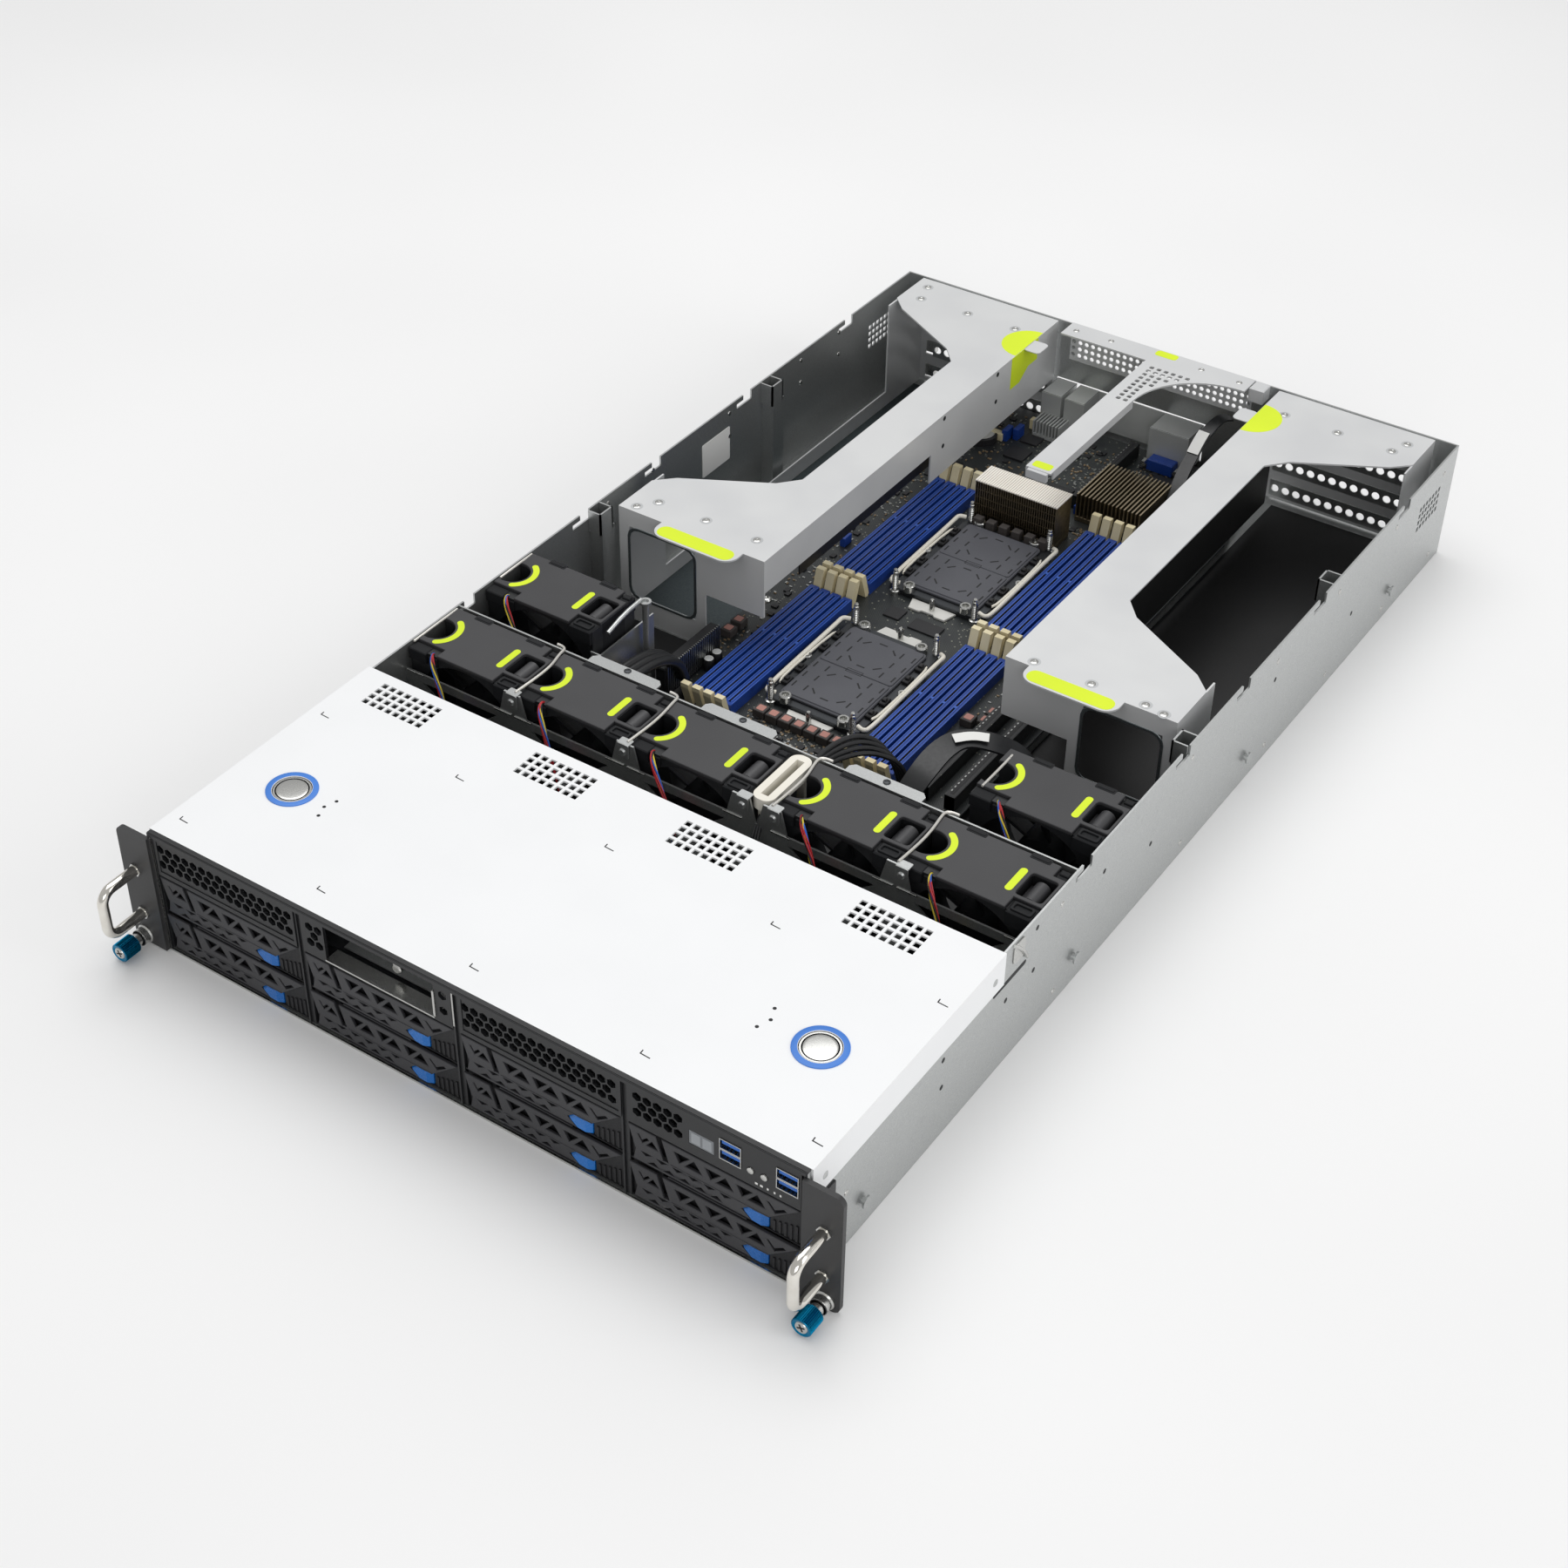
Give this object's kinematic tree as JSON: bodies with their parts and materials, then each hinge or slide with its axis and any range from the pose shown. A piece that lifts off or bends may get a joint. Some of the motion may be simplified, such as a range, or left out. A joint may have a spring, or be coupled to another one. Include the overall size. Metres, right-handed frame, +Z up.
{
  "type": "two-unit rack server",
  "caption": "Open two-unit rack server: front drive trays with levers, hot-swap fan row, processor sockets, memory banks and lift-out accelerator cages.",
  "frame": {"origin": "middle of the footprint, at the underside of the chassis", "axes": "+Z up, -Y out of the front, +X to the right seen from the front"},
  "size_m": [0.4826, 0.833, 0.0881],
  "materials": {
    "galvanised_steel": "galvanised sheet, satin",
    "white_paint": "smooth powder coat",
    "black_paint": "fine-textured powder coat",
    "handle_chrome": "polished",
    "circuit_board": "solder mask",
    "cream_plastic": "moulded",
    "fan_plastic": "moulded",
    "socket_steel": "stamped",
    "cap_plastic": "moulded",
    "blue_plastic": "moulded",
    "heatsink_aluminium": "anodised",
    "button_steel": "turned",
    "teal_metal": "anodised and knurled",
    "tray_plastic": "moulded",
    "release_plastic": "moulded",
    "grey_paint": "satin powder coat"
  },
  "bodies": {
    "chassis": {"chassis_tray": "galvanised_steel", "front_lid": "white_paint", "rack_ears": "black_paint", "ear_handles": "handle_chrome", "bay_frame": "black_paint", "drive_backplane": "circuit_board", "front_panels": "black_paint", "fan_cage": "galvanised_steel", "cable_guide": "cream_plastic", "fan_frames": "fan_plastic", "motherboard": "circuit_board", "cpu_sockets": "socket_steel", "socket_covers": "cap_plastic", "dimm_slots": "blue_plastic", "heatsinks": "heatsink_aluminium"},
    "lid_button_left": {"lid_button_left": "button_steel"},
    "lid_button_right": {"lid_button_right": "button_steel"},
    "thumbscrew_left": {"thumbscrew_left": "teal_metal"},
    "thumbscrew_right": {"thumbscrew_right": "teal_metal"},
    "power_button": {"power_button": "button_steel"},
    "locate_button": {"locate_button": "button_steel"},
    "drive_tray_1": {"drive_tray_1": "tray_plastic"},
    "tray_lever_1": {"tray_lever_1": "tray_plastic"},
    "tray_release_1": {"tray_release_1": "release_plastic"},
    "drive_tray_2": {"drive_tray_2": "tray_plastic"},
    "tray_lever_2": {"tray_lever_2": "tray_plastic"},
    "tray_release_2": {"tray_release_2": "release_plastic"},
    "drive_tray_3": {"drive_tray_3": "tray_plastic"},
    "tray_lever_3": {"tray_lever_3": "tray_plastic"},
    "tray_release_3": {"tray_release_3": "release_plastic"},
    "drive_tray_4": {"drive_tray_4": "tray_plastic"},
    "tray_lever_4": {"tray_lever_4": "tray_plastic"},
    "tray_release_4": {"tray_release_4": "release_plastic"},
    "drive_tray_5": {"drive_tray_5": "tray_plastic"},
    "tray_lever_5": {"tray_lever_5": "tray_plastic"},
    "tray_release_5": {"tray_release_5": "release_plastic"},
    "drive_tray_6": {"drive_tray_6": "tray_plastic"},
    "tray_lever_6": {"tray_lever_6": "tray_plastic"},
    "tray_release_6": {"tray_release_6": "release_plastic"},
    "drive_tray_7": {"drive_tray_7": "tray_plastic"},
    "tray_lever_7": {"tray_lever_7": "tray_plastic"},
    "tray_release_7": {"tray_release_7": "release_plastic"},
    "drive_tray_8": {"drive_tray_8": "tray_plastic"},
    "tray_lever_8": {"tray_lever_8": "tray_plastic"},
    "tray_release_8": {"tray_release_8": "release_plastic"},
    "fan_rotor_1": {"fan_rotor_1": "fan_plastic"},
    "fan_rotor_2": {"fan_rotor_2": "fan_plastic"},
    "fan_rotor_3": {"fan_rotor_3": "fan_plastic"},
    "fan_rotor_4": {"fan_rotor_4": "fan_plastic"},
    "fan_rotor_5": {"fan_rotor_5": "fan_plastic"},
    "fan_rotor_6": {"fan_rotor_6": "fan_plastic"},
    "fan_rotor_7": {"fan_rotor_7": "fan_plastic"},
    "gpu_cage_left": {"gpu_cage_left": "grey_paint"},
    "gpu_cage_right": {"gpu_cage_right": "grey_paint"},
    "center_riser": {"center_riser": "grey_paint"},
    "dimm_latches_front_a": {"dimm_latches_front_a": "cream_plastic"},
    "dimm_latches_front_b": {"dimm_latches_front_b": "cream_plastic"},
    "dimm_latches_rear_a": {"dimm_latches_rear_a": "cream_plastic"},
    "dimm_latches_rear_b": {"dimm_latches_rear_b": "cream_plastic"}
  },
  "joints": [
    {"name": "lid_button_left_joint", "type": "slide", "parent": "chassis", "child": "lid_button_left", "axis": [0, 0, -1], "range_m": [0, 0.0025], "stiffness_N_per_m": 400, "springref_m": -0.002},
    {"name": "lid_button_right_joint", "type": "slide", "parent": "chassis", "child": "lid_button_right", "axis": [0, 0, -1], "range_m": [0, 0.0025], "stiffness_N_per_m": 400, "springref_m": -0.002},
    {"name": "thumbscrew_left_joint", "type": "hinge", "parent": "chassis", "child": "thumbscrew_left", "pos_m": [-0.23255, -0.3835, 0.007], "axis": [0, 1, 0], "continuous": true},
    {"name": "thumbscrew_right_joint", "type": "hinge", "parent": "chassis", "child": "thumbscrew_right", "pos_m": [0.23255, -0.3835, 0.007], "axis": [0, 1, 0], "continuous": true},
    {"name": "power_button_joint", "type": "slide", "parent": "chassis", "child": "power_button", "axis": [0, 1, 0], "range_m": [0, 0.001], "stiffness_N_per_m": 300, "springref_m": -0.0005},
    {"name": "locate_button_joint", "type": "slide", "parent": "chassis", "child": "locate_button", "axis": [0, 1, 0], "range_m": [0, 0.001], "stiffness_N_per_m": 300, "springref_m": -0.0005},
    {"name": "drive_tray_1_joint", "type": "slide", "parent": "chassis", "child": "drive_tray_1", "axis": [0, -1, 0], "range_m": [0, 0.15]},
    {"name": "tray_lever_1_joint", "type": "hinge", "parent": "drive_tray_1", "child": "tray_lever_1", "pos_m": [-0.1904, -0.3801, 0.0482], "axis": [0, 0, -1], "range_deg": [0, 60]},
    {"name": "tray_release_1_joint", "type": "slide", "parent": "drive_tray_1", "child": "tray_release_1", "axis": [0, 1, 0], "range_m": [0, 0.0025], "stiffness_N_per_m": 400, "springref_m": -0.0008},
    {"name": "drive_tray_2_joint", "type": "slide", "parent": "chassis", "child": "drive_tray_2", "axis": [0, -1, 0], "range_m": [0, 0.15]},
    {"name": "tray_lever_2_joint", "type": "hinge", "parent": "drive_tray_2", "child": "tray_lever_2", "pos_m": [-0.0816, -0.3801, 0.0482], "axis": [0, 0, -1], "range_deg": [0, 60]},
    {"name": "tray_release_2_joint", "type": "slide", "parent": "drive_tray_2", "child": "tray_release_2", "axis": [0, 1, 0], "range_m": [0, 0.0025], "stiffness_N_per_m": 400, "springref_m": -0.0008},
    {"name": "drive_tray_3_joint", "type": "slide", "parent": "chassis", "child": "drive_tray_3", "axis": [0, -1, 0], "range_m": [0, 0.15]},
    {"name": "tray_lever_3_joint", "type": "hinge", "parent": "drive_tray_3", "child": "tray_lever_3", "pos_m": [0.0272, -0.3801, 0.0482], "axis": [0, 0, -1], "range_deg": [0, 60]},
    {"name": "tray_release_3_joint", "type": "slide", "parent": "drive_tray_3", "child": "tray_release_3", "axis": [0, 1, 0], "range_m": [0, 0.0025], "stiffness_N_per_m": 400, "springref_m": -0.0008},
    {"name": "drive_tray_4_joint", "type": "slide", "parent": "chassis", "child": "drive_tray_4", "axis": [0, -1, 0], "range_m": [0, 0.15]},
    {"name": "tray_lever_4_joint", "type": "hinge", "parent": "drive_tray_4", "child": "tray_lever_4", "pos_m": [0.136, -0.3801, 0.0482], "axis": [0, 0, -1], "range_deg": [0, 60]},
    {"name": "tray_release_4_joint", "type": "slide", "parent": "drive_tray_4", "child": "tray_release_4", "axis": [0, 1, 0], "range_m": [0, 0.0025], "stiffness_N_per_m": 400, "springref_m": -0.0008},
    {"name": "drive_tray_5_joint", "type": "slide", "parent": "chassis", "child": "drive_tray_5", "axis": [0, -1, 0], "range_m": [0, 0.15]},
    {"name": "tray_lever_5_joint", "type": "hinge", "parent": "drive_tray_5", "child": "tray_lever_5", "pos_m": [-0.1904, -0.3801, 0.0202], "axis": [0, 0, -1], "range_deg": [0, 60]},
    {"name": "tray_release_5_joint", "type": "slide", "parent": "drive_tray_5", "child": "tray_release_5", "axis": [0, 1, 0], "range_m": [0, 0.0025], "stiffness_N_per_m": 400, "springref_m": -0.0008},
    {"name": "drive_tray_6_joint", "type": "slide", "parent": "chassis", "child": "drive_tray_6", "axis": [0, -1, 0], "range_m": [0, 0.15]},
    {"name": "tray_lever_6_joint", "type": "hinge", "parent": "drive_tray_6", "child": "tray_lever_6", "pos_m": [-0.0816, -0.3801, 0.0202], "axis": [0, 0, -1], "range_deg": [0, 60]},
    {"name": "tray_release_6_joint", "type": "slide", "parent": "drive_tray_6", "child": "tray_release_6", "axis": [0, 1, 0], "range_m": [0, 0.0025], "stiffness_N_per_m": 400, "springref_m": -0.0008},
    {"name": "drive_tray_7_joint", "type": "slide", "parent": "chassis", "child": "drive_tray_7", "axis": [0, -1, 0], "range_m": [0, 0.15]},
    {"name": "tray_lever_7_joint", "type": "hinge", "parent": "drive_tray_7", "child": "tray_lever_7", "pos_m": [0.0272, -0.3801, 0.0202], "axis": [0, 0, -1], "range_deg": [0, 60]},
    {"name": "tray_release_7_joint", "type": "slide", "parent": "drive_tray_7", "child": "tray_release_7", "axis": [0, 1, 0], "range_m": [0, 0.0025], "stiffness_N_per_m": 400, "springref_m": -0.0008},
    {"name": "drive_tray_8_joint", "type": "slide", "parent": "chassis", "child": "drive_tray_8", "axis": [0, -1, 0], "range_m": [0, 0.15]},
    {"name": "tray_lever_8_joint", "type": "hinge", "parent": "drive_tray_8", "child": "tray_lever_8", "pos_m": [0.136, -0.3801, 0.0202], "axis": [0, 0, -1], "range_deg": [0, 60]},
    {"name": "tray_release_8_joint", "type": "slide", "parent": "drive_tray_8", "child": "tray_release_8", "axis": [0, 1, 0], "range_m": [0, 0.0025], "stiffness_N_per_m": 400, "springref_m": -0.0008},
    {"name": "fan_rotor_1_joint", "type": "hinge", "parent": "chassis", "child": "fan_rotor_1", "pos_m": [-0.1758, -0.1475, 0.043], "axis": [0, 1, 0], "continuous": true},
    {"name": "fan_rotor_2_joint", "type": "hinge", "parent": "chassis", "child": "fan_rotor_2", "pos_m": [-0.0922, -0.1475, 0.043], "axis": [0, 1, 0], "continuous": true},
    {"name": "fan_rotor_3_joint", "type": "hinge", "parent": "chassis", "child": "fan_rotor_3", "pos_m": [-0.0086, -0.1475, 0.043], "axis": [0, 1, 0], "continuous": true},
    {"name": "fan_rotor_4_joint", "type": "hinge", "parent": "chassis", "child": "fan_rotor_4", "pos_m": [0.0922, -0.1475, 0.043], "axis": [0, 1, 0], "continuous": true},
    {"name": "fan_rotor_5_joint", "type": "hinge", "parent": "chassis", "child": "fan_rotor_5", "pos_m": [0.1758, -0.1475, 0.043], "axis": [0, 1, 0], "continuous": true},
    {"name": "fan_rotor_6_joint", "type": "hinge", "parent": "chassis", "child": "fan_rotor_6", "pos_m": [-0.1758, -0.0735, 0.043], "axis": [0, 1, 0], "continuous": true},
    {"name": "fan_rotor_7_joint", "type": "hinge", "parent": "chassis", "child": "fan_rotor_7", "pos_m": [0.1758, -0.0735, 0.043], "axis": [0, 1, 0], "continuous": true},
    {"name": "gpu_cage_left_joint", "type": "slide", "parent": "chassis", "child": "gpu_cage_left", "axis": [0, 0, 1], "range_m": [0, 0.09]},
    {"name": "gpu_cage_right_joint", "type": "slide", "parent": "chassis", "child": "gpu_cage_right", "axis": [0, 0, 1], "range_m": [0, 0.09]},
    {"name": "center_riser_joint", "type": "slide", "parent": "chassis", "child": "center_riser", "axis": [0, 0, 1], "range_m": [0, 0.05]},
    {"name": "dimm_latches_front_a_joint", "type": "hinge", "parent": "chassis", "child": "dimm_latches_front_a", "pos_m": [-0.028, -0.0328, 0.011], "axis": [-1, 0, 0], "range_deg": [0, 16]},
    {"name": "dimm_latches_front_b_joint", "type": "hinge", "parent": "chassis", "child": "dimm_latches_front_b", "pos_m": [-0.028, 0.1138, 0.011], "axis": [1, 0, 0], "range_deg": [0, 16]},
    {"name": "dimm_latches_rear_a_joint", "type": "hinge", "parent": "chassis", "child": "dimm_latches_rear_a", "pos_m": [-0.028, 0.1312, 0.011], "axis": [-1, 0, 0], "range_deg": [0, 16]},
    {"name": "dimm_latches_rear_b_joint", "type": "hinge", "parent": "chassis", "child": "dimm_latches_rear_b", "pos_m": [-0.028, 0.2778, 0.011], "axis": [1, 0, 0], "range_deg": [0, 16]}
  ]
}
